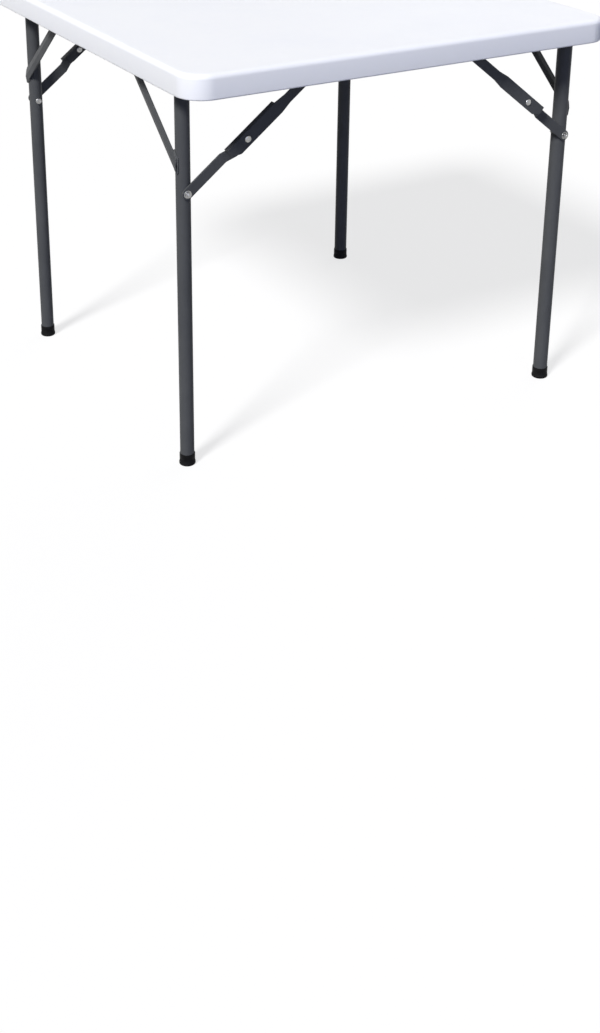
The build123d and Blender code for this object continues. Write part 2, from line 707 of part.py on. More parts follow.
        # The bar lies against the leg at its foot and under the upper link at the knee
        knee_point = Vector(knee_x, outward * (leg_face_y + bar_knee_face), knee_z)
        bar_plane = Plane(knee_point, x_dir=link_dir, z_dir=link_dir.cross(Vector(0, outward, 0)))
        bar_end = lower_link + bar_width / 2
        with BuildPart() as bar:
            with BuildSketch(bar_plane):
                with BuildLine():
                    Polyline(
                        (-bar_width / 2, 0),
                        (joggle_start, 0),
                        (joggle_end, -joggle_depth),
                        (bar_end, -joggle_depth),
                        (bar_end, bar_sheet - joggle_depth),
                        (joggle_end, bar_sheet - joggle_depth),
                        (joggle_start, bar_sheet),
                        (-bar_width / 2, bar_sheet),
                        close=True,
                    )
                make_face()
            extrude(amount=bar_width / 2, both=True)
            outline_plane = Plane(
                knee_point - Vector(0, outward * joggle_depth, 0), x_dir=link_dir, z_dir=(0, outward, 0)
            )
            with BuildSketch(outline_plane):
                with Locations((lower_link / 2, 0)):
                    SlotCenterToCenter(lower_link, bar_width)
            extrude(amount=joggle_depth + bar_sheet, mode=Mode.INTERSECT)
            with BuildSketch(outline_plane):
                with Locations((0, 0), (lower_link, 0)):
                    Circle(pivot_radius + running_gap)
            extrude(amount=joggle_depth + bar_sheet, mode=Mode.SUBTRACT)
        save(bar.part, f"{set_name}_lower_link_{end_name}")

        knee_rivet = pin_along_y(
            knee_x,
            knee_z,
            [
                (leg_face_y + bar_knee_face - side_gap - pivot_head_height,
                 leg_face_y + bar_knee_face - side_gap, pivot_head_radius, -pivot_head_round),
                (leg_face_y + bar_knee_face - side_gap, leg_face_y + plate_outer_face, pivot_radius, 0),
                (leg_face_y + plate_outer_face, leg_face_y + plate_outer_face + pivot_head_height,
                 pivot_head_radius, pivot_head_round),
            ],
            outward,
        )
        save(knee_rivet, f"{set_name}_knee_rivet_{end_name}")

        # The nut turns with the bar, and its stub faces the end of the leg bolt
        nut_face_y = leg_face_y + bar_leg_face + bar_sheet
        nut_plane = Plane(
            (axis_x, outward * nut_face_y, hinge_level - brace_drop),
            x_dir=(1, 0, 0),
            z_dir=(0, outward, 0),
        )
        with BuildPart() as nut:
            with BuildSketch(nut_plane):
                RegularPolygon(bolt_head_width / 2, side_count=6, major_radius=False)
            extrude(amount=nut_height)
            with BuildSketch(nut_plane):
                Circle(pivot_radius)
            extrude(amount=-bar_sheet)
        save(nut.part, f"{set_name}_brace_nut_{end_name}")

print("hinge level", hinge_level, "leg rows", narrow_leg_y, wide_leg_y)
print("links", upper_link, lower_link, "brace angle", brace_angle)
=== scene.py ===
import json
import math

import bmesh
import bpy
from mathutils import Matrix, Vector


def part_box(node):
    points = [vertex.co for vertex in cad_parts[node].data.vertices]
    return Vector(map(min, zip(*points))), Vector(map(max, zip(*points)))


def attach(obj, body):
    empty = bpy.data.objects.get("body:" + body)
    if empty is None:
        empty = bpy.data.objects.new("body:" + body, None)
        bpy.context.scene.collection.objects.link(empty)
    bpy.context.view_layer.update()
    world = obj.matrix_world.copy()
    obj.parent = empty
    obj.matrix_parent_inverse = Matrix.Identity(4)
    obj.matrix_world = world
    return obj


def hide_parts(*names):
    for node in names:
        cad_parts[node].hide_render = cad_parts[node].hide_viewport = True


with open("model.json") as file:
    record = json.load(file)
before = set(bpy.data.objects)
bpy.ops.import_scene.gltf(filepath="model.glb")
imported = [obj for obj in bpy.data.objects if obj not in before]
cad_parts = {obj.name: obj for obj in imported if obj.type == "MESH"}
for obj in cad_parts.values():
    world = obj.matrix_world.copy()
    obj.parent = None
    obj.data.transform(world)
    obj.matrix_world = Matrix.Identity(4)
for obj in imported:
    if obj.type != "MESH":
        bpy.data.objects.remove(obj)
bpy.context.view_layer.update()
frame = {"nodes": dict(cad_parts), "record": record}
nodes = frame["nodes"]
print("frame loaded,", len(nodes), "nodes")
bpy.context.scene.view_settings.view_transform = "Standard"


def makeObject(name, data):
    obj = bpy.data.objects.new(name, data)
    bpy.context.scene.collection.objects.link(obj)
    return obj


# Camera: the photograph's own viewpoint, in degrees, metres and image pixels
photoCamera = {
    "imageWidth": 600,
    "imageHeight": 1033,
    "focalPixels": 1494.5,
    "centreX": 345,
    "centreY": 230,
    "yaw": -33.85,
    "pitch": 21.02,
    "roll": 1.46,
    "place": (-1.4491, -2.3829, 1.3378),
}


def makeCamera(values):
    camera = makeObject("camera", bpy.data.cameras.new("camera"))
    longSide = values["imageHeight"]
    data = camera.data
    data.lens = values["focalPixels"] * data.sensor_width / longSide
    data.shift_x = (values["imageWidth"] / 2 - values["centreX"]) / longSide
    data.shift_y = (values["centreY"] - longSide / 2) / longSide
    yaw, pitch, roll = (math.radians(values[k]) for k in ("yaw", "pitch", "roll"))
    ahead = Vector((
        -math.sin(yaw) * math.cos(pitch), math.cos(yaw) * math.cos(pitch), -math.sin(pitch)))
    level = Vector((math.cos(yaw), math.sin(yaw), 0))
    upright = level.cross(ahead)
    right = math.cos(roll) * level + math.sin(roll) * upright
    up = math.cos(roll) * upright - math.sin(roll) * level
    turn = Matrix((right, up, -ahead)).transposed().to_4x4()
    camera.matrix_world = Matrix.Translation(values["place"]) @ turn
    bpy.context.scene.camera = camera


makeCamera(photoCamera)
print("camera placed")


# Node makers that the lights, the trees and the finishes share
def setInputs(tree, node, values):
    # A value that is a socket is linked, and any other is set
    for name, value in values.items():
        if isinstance(value, bpy.types.NodeSocket):
            tree.links.new(value, node.inputs[name])
        else:
            node.inputs[name].default_value = value


def addNode(tree, kind, values=None, **settings):
    node = tree.nodes.new(kind)
    for name, setting in settings.items():
        setattr(node, name, setting)
    setInputs(tree, node, values or {})
    return node


def maths(tree, operation, first, second):
    values = {0: first, 1: second}
    return addNode(tree, "ShaderNodeMath", values, operation=operation).outputs[0]


def mixed(tree, kind, share, first, second):
    # kind is FLOAT or RGBA, whose sockets lie apart in the one Mix node
    at, result = {"FLOAT": (2, 0), "RGBA": (6, 2)}[kind]
    values = {0: share, at: first, at + 1: second}
    return addNode(tree, "ShaderNodeMix", values, data_type=kind).outputs[result]


def remap(tree, value, low, high, least=0, most=1):
    return addNode(tree, "ShaderNodeMapRange", {
        "Value": value, "From Min": low, "From Max": high, "To Min": least, "To Max": most,
    }).outputs[0]


def noise(tree, vector, scale, detail, roughness, distortion=0):
    return addNode(tree, "ShaderNodeTexNoise", {
        "Vector": vector, "Scale": scale, "Detail": detail, "Roughness": roughness,
        "Distortion": distortion}).outputs[0]


def makeTree(name, kind, inputs, outputs):
    # Each socket is (name, kind), with a default after them where it needs one
    tree = bpy.data.node_groups.new(name, kind)
    for side, sockets in (("INPUT", inputs), ("OUTPUT", outputs)):
        for label, socketKind, *default in sockets:
            socket = tree.interface.new_socket(
                label, in_out=side, socket_type="NodeSocket" + socketKind)
            if default:
                socket.default_value = default[0]
    return tree, addNode(tree, "NodeGroupInput").outputs, addNode(tree, "NodeGroupOutput")


# Small makers of meshes
def objectFromBm(name, bm):
    bmesh.ops.recalc_face_normals(bm, faces=bm.faces)
    mesh = bpy.data.meshes.new(name)
    bm.to_mesh(mesh)
    bm.free()
    return makeObject(name, mesh)


def smoothFaces(piece, sharpAngle):
    piece.data.shade_smooth()
    piece.data.set_sharp_from_angle(angle=math.radians(sharpAngle))


def rectangle(halfX, halfY):
    return [(-halfX, -halfY), (halfX, -halfY), (halfX, halfY), (-halfX, halfY)]


def cutCorners(halfX, halfY, cut):
    return [(cut - halfX, -halfY), (halfX - cut, -halfY), (halfX, cut - halfY),
            (halfX, halfY - cut), (halfX - cut, halfY), (cut - halfX, halfY),
            (-halfX, halfY - cut), (-halfX, cut - halfY)]


def roundedLoop(halfX, halfY, radius, level, steps):
    # Counter-clockwise points of a rounded rectangle, steps + 1 to a corner
    points = []
    for quarter, (signX, signY) in enumerate(((1, 1), (-1, 1), (-1, -1), (1, -1))):
        centreX, centreY = signX * (halfX - radius), signY * (halfY - radius)
        for step in range(steps + 1):
            angle = math.pi / 2 * (quarter + step / steps)
            x, y = centreX + radius * math.cos(angle), centreY + radius * math.sin(angle)
            points.append((x, y, level))
    return points


def offsetOutline(outline, distance):
    # Moves a counter-clockwise outline outwards, with mitred corners
    moved = []
    count = len(outline)
    for i in range(count):
        before, here, after = (Vector(outline[(i + k) % count]) for k in (-1, 0, 1))
        ahead, past = (after - here).normalized(), (here - before).normalized()
        normals = Vector((past.y, -past.x)), Vector((ahead.y, -ahead.x))
        middle = (normals[0] + normals[1]).normalized()
        moved.append(tuple(here + middle * distance / middle.dot(normals[0])))
    return moved


def addLoop(bm, points):
    return [bm.verts.new(p) for p in points]


def bridge(bm, lower, upper):
    count = len(lower)
    for i in range(count):
        j = (i + 1) % count
        bm.faces.new((lower[i], lower[j], upper[j], upper[i]))


def bridgeAll(bm, rings):
    for lower, upper in zip(rings, rings[1:]):
        bridge(bm, lower, upper)


def fillBetween(bm, loops, more=()):
    edges = list(more)
    for loop in loops:
        for i in range(len(loop)):
            pair = (loop[i], loop[(i + 1) % len(loop)])
            edges.append(bm.edges.get(pair) or bm.edges.new(pair))
    bmesh.ops.triangle_fill(bm, use_beauty=True, use_dissolve=False, edges=edges)


cutterOverrun = 0.001  # metres that a cutter stands out of the face that it cuts
lipBend = 0.3  # where the middle ring of a rolled lip lies, as a share of the lip


def lipRings(outline, lip):
    # Rings that flare at the surface, so that a cut has a rolled edge
    wide, bend = offsetOutline(outline, lip), lipBend * lip
    return [(wide, -cutterOverrun), (wide, 0), (offsetOutline(outline, bend), bend), (outline, lip)]


def startCutter(bm, flat):
    # Joins rings of (outline, level) pairs, and closes them at the first
    rings = [addLoop(bm, [(x, y, level) for x, y in points]) for points, level in flat]
    bridgeAll(bm, rings)
    bm.faces.new(rings[0][::-1])
    return rings[-1]


def makeCutter(name, outline, depth, lip, draft=0, overrun=cutterOverrun):
    bm = bmesh.new()
    flat = lipRings(outline, lip) if lip else [(outline, -overrun)]
    flat.append((offsetOutline(outline, -draft), depth))
    bm.faces.new(startCutter(bm, flat))
    return objectFromBm(name, bm)


# Light: a soft key from the front left, a low cool fill in front, a weak lamp behind on the right
studio = {
    "lamps": {
        "keyLamp": {
            "toward": (-0.65, -0.345, 0.675), "strength": 3.92, "spread": 12,
            "colour": (1.0, 0.99, 0.98)},
        "frontLamp": {
            "toward": (-0.20, -0.97, 0.14), "strength": 0.55, "spread": 50,
            "colour": (0.62, 0.78, 1.50)},
        "rearLamp": {
            "toward": (0.88, 0.40, 0.22), "strength": 0.8, "spread": 60,
            "colour": (0.97, 0.98, 1.03)},
    },
    "lampDistance": 4,
    "horizonGlow": 0.06,
    "zenithGlow": 0.10,
    "floorShown": (1.0, 1.0, 1.0, 1),
    "floorBounce": (0.17, 0.17, 0.175, 1),
    "floorLift": 0.75,
    "floorSize": 60,
}


def seenRays(tree):
    # 1 for camera, glossy and transmission rays, 0 for the light that falls on things
    ray = addNode(tree, "ShaderNodeLightPath").outputs
    cameraOrGlossy = maths(tree, "MAXIMUM", ray["Is Camera Ray"], ray["Is Glossy Ray"])
    return maths(tree, "MAXIMUM", cameraOrGlossy, ray["Is Transmission Ray"])


def makeLamp(name, values, distance):
    lamp = makeObject(name, bpy.data.lights.new(name, "SUN"))
    lamp.data.energy = values["strength"]
    lamp.data.angle = math.radians(values["spread"])
    lamp.data.color = values["colour"]
    lamp.rotation_mode = "QUATERNION"
    lamp.rotation_quaternion = (-Vector(values["toward"])).to_track_quat("-Z", "Y")
    lamp.location = Vector(values["toward"]) * distance


def makeWorld(values):
    # White where the camera looks past the floor, and a dim glow from above for the light
    world = bpy.data.worlds.new("surround")
    bpy.context.scene.world = world
    world.use_nodes = True
    tree = world.node_tree
    tree.nodes.clear()
    aim = addNode(tree, "ShaderNodeTexCoord").outputs["Generated"]
    height = addNode(tree, "ShaderNodeSeparateXYZ", {0: aim}).outputs["Z"]
    glow = remap(tree, height, 0, 1, values["horizonGlow"], values["zenithGlow"])
    soft = addNode(tree, "ShaderNodeBackground", {"Color": (1, 1, 1, 1), "Strength": glow})
    white = addNode(tree, "ShaderNodeBackground", {"Color": (1, 1, 1, 1), "Strength": 1})
    mix = addNode(tree, "ShaderNodeMixShader", {
        0: seenRays(tree), 1: soft.outputs[0], 2: white.outputs[0]})
    addNode(tree, "ShaderNodeOutputWorld", {"Surface": mix.outputs[0]})


def makeFloor(values):
    # White to the camera, and darker to the light that it throws back on the table
    half = values["floorSize"] / 2
    mesh = bpy.data.meshes.new("floor")
    mesh.from_pydata([(x, y, 0) for x, y in rectangle(half, half)], [], [(0, 1, 2, 3)])
    floor = makeObject("floor", mesh)
    material = bpy.data.materials.new("floorPaper")
    material.use_nodes = True
    tree = material.node_tree
    tree.nodes.clear()
    seen = seenRays(tree)
    colour = mixed(tree, "RGBA", seen, values["floorBounce"], values["floorShown"])
    paper = addNode(tree, "ShaderNodeBsdfDiffuse", {"Color": colour, "Roughness": 0})
    lift = addNode(tree, "ShaderNodeEmission", {"Color": values["floorShown"], "Strength": 1})
    share = maths(tree, "MULTIPLY", seen, values["floorLift"])
    mix = addNode(tree, "ShaderNodeMixShader", {0: share, 1: paper.outputs[0], 2: lift.outputs[0]})
    addNode(tree, "ShaderNodeOutputMaterial", {"Surface": mix.outputs[0]})
    mesh.materials.append(material)


makeWorld(studio)
for lampName, lampValues in studio["lamps"].items():
    makeLamp(lampName, lampValues, studio["lampDistance"])
makeFloor(studio)
print("studio lit")


# Tabletop: one moulded shell in metres, with the sizes of the CAD source
tabletopSizes = {
    "half": 0.432, "top": 0.737, "bottom": 0.695, "corner": 0.046,
    "topRoll": 0.009, "rimRoll": 0.003, "rollSteps": 8, "cornerSteps": 20,
    "ceiling": 0.725, "recessHalfX": 0.3985, "recessHalfY": 0.4155,
    "slotHalfX": 0.413, "slotInnerY": 0.3985, "slotCut": 0.014, "lip": 0.0008,
    "padLevel": 0.714, "padHalfX": 0.371, "padHalfY": 0.292, "padCorner": 0.018,
    "padSlope": 0.0015, "padCornerSteps": 8, "padEnd": 0.3691,
    "pitch": 0.045, "rowPitch": 0.0336, "rows": 8,  # dimple rows on each side of the middle one
    "sharpAngle": 38,
}


def layBricks(bm, s):
    # The flat of the pad as one cell round each dimple, so that every cut stays in a cell
    pitch, row, reach, rows = s["pitch"], s["rowPitch"], s["padEnd"], s["rows"]
    verts = {}

    def at(x, y):
        key = (round(x, 6), round(y, 6))
        if key not in verts:
            verts[key] = bm.verts.new((x, y, s["padLevel"]))
        return verts[key]

    def columns(index):
        if index % 2 == 0:
            return [k * pitch for k in range(-rows, rows + 1)]
        return [-reach] + [(k + 0.5) * pitch for k in range(-rows, rows)] + [reach]

    edges = set()
    for index in range(-rows, rows + 1):
        low, high = (index - 0.5) * row, (index + 0.5) * row
        own = columns(index)
        beside = {}
        for level, neighbour in ((low, index - 1), (high, index + 1)):
            beside[level] = columns(neighbour) if abs(neighbour) <= rows else []
        for left, right in zip(own, own[1:]):
            between = {level: sorted(x for x in beside[level] if left < x < right)
                       for level in (low, high)}
            corners = [at(left, low)] + [at(x, low) for x in between[low]]
            corners += [at(right, low), at(right, high)]
            corners += [at(x, high) for x in between[high][::-1]] + [at(left, high)]
            edges.update(bm.faces.new(corners).edges)
    return edges


def makeTabletopShell(s):
    bm = bmesh.new()
    half, corner = s["half"], s["corner"]
    quarter = [math.pi / 2 * i / s["rollSteps"] for i in range(s["rollSteps"] + 1)]

    def ring(inset, level):
        return addLoop(bm, roundedLoop(
            half - inset, half - inset, corner - inset, level, s["cornerSteps"]))

    # Up from the rolled lower edge of the rim, and over the roll to the top
    low, top = s["rimRoll"], s["topRoll"]
    rings = [ring(low * (1 - math.sin(a)), s["bottom"] + low * (1 - math.cos(a))) for a in quarter]
    rings += [ring(top * (1 - math.cos(a)), s["top"] - top * (1 - math.sin(a))) for a in quarter]
    bridgeAll(bm, rings)
    bm.faces.new(rings[-1])

    # The recess in the underside, with a slot for the rail at each end
    corners = [(s["recessHalfX"], s["slotInnerY"]), (s["slotHalfX"], s["slotInnerY"]),
               (s["slotHalfX"], s["recessHalfY"] - s["slotCut"]),
               (s["slotHalfX"] - s["slotCut"], s["recessHalfY"])]
    outline = corners + [(-x, y) for x, y in corners[::-1]]
    outline += [(-x, -y) for x, y in corners] + [(x, -y) for x, y in corners[::-1]]
    lip = s["lip"]
    mouth = [addLoop(bm, [(x, y, s["bottom"] + rise) for x, y in offsetOutline(outline, spread)])
             for spread, rise in ((lip, 0), (lipBend * lip, lipBend * lip), (0, lip))]
    roof = addLoop(bm, [(x, y, s["ceiling"]) for x, y in outline])
    bridgeAll(bm, mouth + [roof])
    fillBetween(bm, (rings[0], mouth[0]))

    # The dimpled pad, which hangs below the roof of the recess
    slope, bend = s["padSlope"], lipBend * s["padSlope"]
    pad = [addLoop(bm, roundedLoop(s["padHalfX"] - inset, s["padHalfY"] - inset,
                                   s["padCorner"] - inset, level, s["padCornerSteps"]))
           for inset, level in ((0, s["ceiling"]), (0, s["padLevel"] + slope),
                                (bend, s["padLevel"] + bend), (slope, s["padLevel"]))]
    bridgeAll(bm, pad)
    fillBetween(bm, (roof, pad[0]))
    bricks = layBricks(bm, s)
    fillBetween(bm, (pad[-1],), [e for e in bricks if e.is_boundary])
    return objectFromBm("tabletop_shell", bm)


# Pockets: grids of one cutter each, sunk into the shell by one Geometry Nodes tree
def realMesh(tree, instances):
    return addNode(tree, "GeometryNodeRealizeInstances", {0: instances.outputs[0]}).outputs[0]


def endTree(tree, out, geometry, material):
    done = addNode(tree, "GeometryNodeSetMaterial", {"Geometry": geometry, "Material": material})
    setInputs(tree, out, {0: done.outputs[0]})


def makePocketTree():
    # One cutter at the origin by default; the skips leave out columns by X, and 9 is none
    tree, given, out = makeTree("sunkPockets", "GeometryNodeTree", [
        ("Geometry", "Geometry"), ("Cutter", "Object"),
        ("Centre", "Vector"), ("Span X", "Float"), ("Span Y", "Float"),
        ("Count X", "Int", 1), ("Count Y", "Int", 1), ("Depth Scale", "Float", 1),
        ("Skip One X", "Float", 9), ("Skip Other X", "Float", 9), ("Skip Reach", "Float", 0.004),
        ("Material", "Material"),
    ], [("Geometry", "Geometry")])
    grid = addNode(tree, "GeometryNodeMeshGrid", {
        "Size X": given["Span X"], "Size Y": given["Span Y"],
        "Vertices X": given["Count X"], "Vertices Y": given["Count Y"]})
    placed = addNode(tree, "GeometryNodeTransform", {
        "Geometry": grid.outputs["Mesh"], "Translation": given["Centre"]})
    position = addNode(tree, "GeometryNodeInputPosition").outputs[0]
    placeX = addNode(tree, "ShaderNodeSeparateXYZ", {0: position}).outputs["X"]
    kept = []
    for skip in ("Skip One X", "Skip Other X"):
        apart = maths(tree, "ABSOLUTE", maths(tree, "SUBTRACT", placeX, given[skip]), 0)
        kept.append(addNode(tree, "FunctionNodeCompare", {0: apart, 1: given["Skip Reach"]},
                            data_type="FLOAT", operation="GREATER_THAN").outputs[0])
    both = addNode(tree, "FunctionNodeBooleanMath", {0: kept[0], 1: kept[1]}, operation="AND")
    cutter = addNode(tree, "GeometryNodeObjectInfo", {"Object": given["Cutter"]})
    size = addNode(tree, "ShaderNodeCombineXYZ", {"X": 1, "Y": 1, "Z": given["Depth Scale"]})
    many = addNode(tree, "GeometryNodeInstanceOnPoints", {
        "Points": placed.outputs[0], "Selection": both.outputs[0],
        "Instance": cutter.outputs["Geometry"], "Scale": size.outputs[0]})
    cut = addNode(tree, "GeometryNodeMeshBoolean", {
        "Mesh 1": given["Geometry"], "Mesh 2": realMesh(tree, many)},
        solver="EXACT", operation="DIFFERENCE")
    endTree(tree, out, cut.outputs[0], given["Material"])
    return tree


def addTreeModifier(obj, tree, values):
    modifier = obj.modifiers.new(tree.name, "NODES")
    modifier.node_group = tree
    for item in tree.interface.items_tree:
        if item.in_out == "INPUT" and item.name in values:
            modifier[item.identifier] = values[item.name]


def settleMesh(obj, name):
    # The evaluated object as a plain mesh of its own, with no modifier left
    depsgraph = bpy.context.evaluated_depsgraph_get()
    mesh = bpy.data.meshes.new_from_object(obj.evaluated_get(depsgraph), depsgraph=depsgraph)
    bpy.data.objects.remove(obj)
    mesh.name = name
    return makeObject(name, mesh)


pocketTree = makePocketTree()

# In metres: half sizes, depths and places of everything moulded into the underside
mouldedPockets = {
    "lip": 0.0007, "notchLip": 0.3,  # the lip of a notch is a share of the others
    "dimpleHalfX": 0.008, "dimpleHalfY": 0.0045, "dimpleDepth": 0.009, "dimpleDraft": 0.0009,
    "dimpleCut": 0.0012, "ribHalf": 0.001, "ribDepth": 0.003, "troughDepthScale": 0.36,
    # Rows of the troughs: which row, how many dimples, and the columns that fittings take
    "troughRows": ((9, 17, ()), (10, 16, (-2.5,)), (11, 17, (-3, 1))),
    "notchHalfX": 0.0135, "notchHalfY": 0.00375, "notchCut": 0.0015, "notchDepth": 0.024,
    "notchDraft": 0.0006, "notchY": 0.41985, "notches": 16,
    "pocketHalfX": 0.010, "pocketHalfY": 0.017, "pocketStep": 0.009, "pocketDepth": 0.014,
    "pocketDraft": 0.001, "pocketX": 0.4115, "pocketPitch": 0.0675, "pockets": 11,
    "stemHalfX": 0.0035, "stemHalfY": 0.0135, "stemCut": 0.0012, "stemDepth": 0.009,
    "stemDraft": 0.0006, "stemX": 0.4105, "stemY": -0.0285,
    "bracketX": -0.125, "bracketY": 0.3706,
    "bracketHalfX": 0.016, "bracketHalfY": 0.0299, "bracketDepth": 0.002,
    "clipX": 0.031, "clipY": 0.365, "clipHalfX": 0.0135, "clipHalfY": 0.0173, "clipDepth": 0.001,
    "pilotRadius": 0.00225, "pilotStep": 30, "pilotDepth": 0.009,
    "screwX": (0.096, 0.357), "screwY": 0.408,
}


def makeDimpleCutter(p):
    # Two teeth, which leave a low rib across the middle of each dimple
    x, y, cut, rib = p["dimpleHalfX"], p["dimpleHalfY"], p["dimpleCut"], p["ribHalf"]
    outline = [(cut - x, -y), (-rib, -y), (rib, -y), (x - cut, -y), (x, cut - y), (x, y - cut),
               (x - cut, y), (rib, y), (-rib, y), (cut - x, y), (-x, y - cut), (-x, cut - y)]
    bm = bmesh.new()
    last = startCutter(bm, lipRings(outline, p["lip"]) + [(outline, p["ribDepth"])])
    bm.faces.new([last[i] for i in (1, 2, 7, 8)])
    for picked in ((0, 1, 8, 9, 10, 11), (2, 3, 4, 5, 6, 7)):
        base = [last[i] for i in picked]
        tip = offsetOutline([v.co.xy[:] for v in base], -p["dimpleDraft"])
        deep = addLoop(bm, [(px, py, p["dimpleDepth"]) for px, py in tip])
        bridge(bm, base, deep)
        bm.faces.new(deep)
    return objectFromBm("dimple_cutter", bm)


def makeTabletop(s, p, material):
    shell = makeTabletopShell(s)
    lip = p["lip"]

    def cutter(kind, outline, ownLip=0):
        return makeCutter(
            kind + "_cutter", outline, p[kind + "Depth"], ownLip, p.get(kind + "Draft", 0))

    dimple = makeDimpleCutter(p)
    notch = cutter("notch", cutCorners(p["notchHalfX"], p["notchHalfY"], p["notchCut"]),
                   p["notchLip"] * lip)
    x, y, step = p["pocketHalfX"], p["pocketHalfY"], p["pocketStep"]
    elbow = [(0, -y), (x, -y), (x, y), (-x, y), (-x, step - y), (0, step - y)]
    rightPocket = cutter("pocket", elbow, lip)
    leftPocket = cutter("pocket", [(-ex, ey) for ex, ey in elbow[::-1]], lip)
    stem = cutter("stem", cutCorners(p["stemHalfX"], p["stemHalfY"], p["stemCut"]), lip)
    bracketSeat = cutter("bracket", rectangle(p["bracketHalfX"], p["bracketHalfY"]))
    clipSeat = cutter("clip", rectangle(p["clipHalfX"], p["clipHalfY"]))
    angles = [math.radians(a) for a in range(0, 360, p["pilotStep"])]
    pilot = cutter("pilot", [
        (p["pilotRadius"] * math.cos(a), p["pilotRadius"] * math.sin(a)) for a in angles])

    # Each grid: cutter, centre, pitch and count along X and Y, and any other input of the tree
    pitch, row, rows = s["pitch"], s["rowPitch"], s["rows"]
    pad, roof, rim = s["padLevel"], s["ceiling"], s["bottom"]
    grids = [
        (dimple, (0, 0, pad), pitch, 2 * row, 2 * rows, rows + 1, {}),
        (dimple, (0, 0, pad), pitch, 2 * row, 2 * rows + 1, rows, {}),
    ]
    for number, count, skipped in p["troughRows"]:
        extra = {"Depth Scale": p["troughDepthScale"]}
        extra.update(zip(("Skip One X", "Skip Other X"), [column * pitch for column in skipped]))
        grids.append((dimple, (0, 0, roof), pitch, 2 * number * row, count, 2, extra))
    grids.append((notch, (0, 0, rim), pitch, 2 * p["notchY"], p["notches"], 2, {}))
    for cutting, x, y in ((stem, -p["stemX"], p["stemY"]), (stem, p["stemX"], p["stemY"]),
                          (leftPocket, -p["pocketX"], 0), (rightPocket, p["pocketX"], 0)):
        grids.append((cutting, (x, y, rim), 0, p["pocketPitch"], 1, p["pockets"], {}))
    for cutting, kind, level in ((bracketSeat, "bracket", roof), (clipSeat, "clip", roof),
                                 (pilot, "clip", roof + p["clipDepth"])):
        grids.append((cutting, (p[kind + "X"], 0, level), 0, 2 * p[kind + "Y"], 1, 2, {}))
    grids += [(pilot, (0, 0, roof), 2 * x, 2 * p["screwY"], 2, 2, {}) for x in p["screwX"]]

    for cutting, centre, pitchX, pitchY, countX, countY, extra in grids:
        addTreeModifier(shell, pocketTree, {
            "Cutter": cutting, "Centre": centre,
            "Span X": (countX - 1) * pitchX, "Span Y": (countY - 1) * pitchY,
            "Count X": countX, "Count Y": countY, "Material": material, **extra})
    piece = settleMesh(shell, "tabletop_moulding")
    for used in {grid[0] for grid in grids}:
        bpy.data.objects.remove(used)
    smoothFaces(piece, s["sharpAngle"])
    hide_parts("tabletop")
    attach(piece, "tabletop")
    return piece


# Shader groups that the finishes share: they put out heights, masks, tones and normals only
surfaceEffects = {
    "cellSmoothness": 0.6, "toneScale": 0.02,  # the tone's scale as a share of the grain's
    "flatCosine": 0.975, "edgeCosine": 0.86,  # between a face and the rounded edge on it
    "wearStart": 0.46, "wearFull": 0.62,
    "streakShare": 0.35, "streakScale": 90, "handledStart": 0.38, "handledFull": 0.66,
}


def makeGrainGroup(e):
    # Fine pebbled skin: small rounded cells broken up by noise
    group, given, out = makeTree("fineGrain", "ShaderNodeTree", [
        ("Vector", "Vector"), ("Scale", "Float"), ("Cells", "Float"),
    ], [("Height", "Float"), ("Tone", "Float")])
    cells = addNode(group, "ShaderNodeTexVoronoi", {
        "Vector": given["Vector"], "Scale": given["Scale"], "Smoothness": e["cellSmoothness"],
    }, feature="SMOOTH_F1")
    rough = noise(group, given["Vector"], given["Scale"], detail=3, roughness=0.6)
    height = mixed(group, "FLOAT", given["Cells"], rough, cells.outputs["Distance"])
    broad = maths(group, "MULTIPLY", given["Scale"], e["toneScale"])
    tone = noise(group, given["Vector"], broad, detail=4, roughness=0.55)
    setInputs(group, out, {"Height": height, "Tone": tone})
    return group


def makeEdgeWearGroup(e):
    # 1 on worn outer edges and 0 elsewhere, with a normal that rounds every edge
    group, given, out = makeTree("edgeWear", "ShaderNodeTree", [
        ("Vector", "Vector"), ("Radius", "Float", 0.0012), ("Patchiness", "Float", 60),
        ("Amount", "Float"),
    ], [("Mask", "Float"), ("Normal", "Vector")])
    rounded = addNode(group, "ShaderNodeBevel", {"Radius": given["Radius"]}, samples=4).outputs[0]
    flat = addNode(group, "ShaderNodeNewGeometry").outputs["Normal"]
    facing = addNode(group, "ShaderNodeVectorMath", {0: rounded, 1: flat}, operation="DOT_PRODUCT")
    edge = remap(group, facing.outputs["Value"], e["flatCosine"], e["edgeCosine"])
    patches = noise(group, given["Vector"], given["Patchiness"], detail=5, roughness=0.65)
    worn = maths(group, "MULTIPLY", edge, remap(group, patches, e["wearStart"], e["wearFull"]))
    mask = maths(group, "MULTIPLY", worn, given["Amount"])
    setInputs(group, out, {"Mask": mask, "Normal": rounded})
    return group


def makeHandlingGroup(e):
    # Rubbed and dusty patches: a broad mask with fine streaks in it
    group, given, out = makeTree("handling", "ShaderNodeTree", [
        ("Vector", "Vector"), ("Scale", "Float"), ("Streaks", "Vector"),
    ], [("Mask", "Float")])
    broad = noise(group, given["Vector"], given["Scale"], detail=5, roughness=0.6, distortion=0.4)
    stretched = addNode(group, "ShaderNodeVectorMath", {
        0: given["Vector"], 1: given["Streaks"]}, operation="MULTIPLY")
    fine = noise(group, stretched.outputs[0], e["streakScale"], detail=4, roughness=0.7)
    both = mixed(group, "FLOAT", e["streakShare"], broad, fine)
    setInputs(group, out, {"Mask": remap(group, both, e["handledStart"], e["handledFull"])})
    return group


grainGroup = makeGrainGroup(surfaceEffects)
edgeWearGroup = makeEdgeWearGroup(surfaceEffects)
handlingGroup = makeHandlingGroup(surfaceEffects)


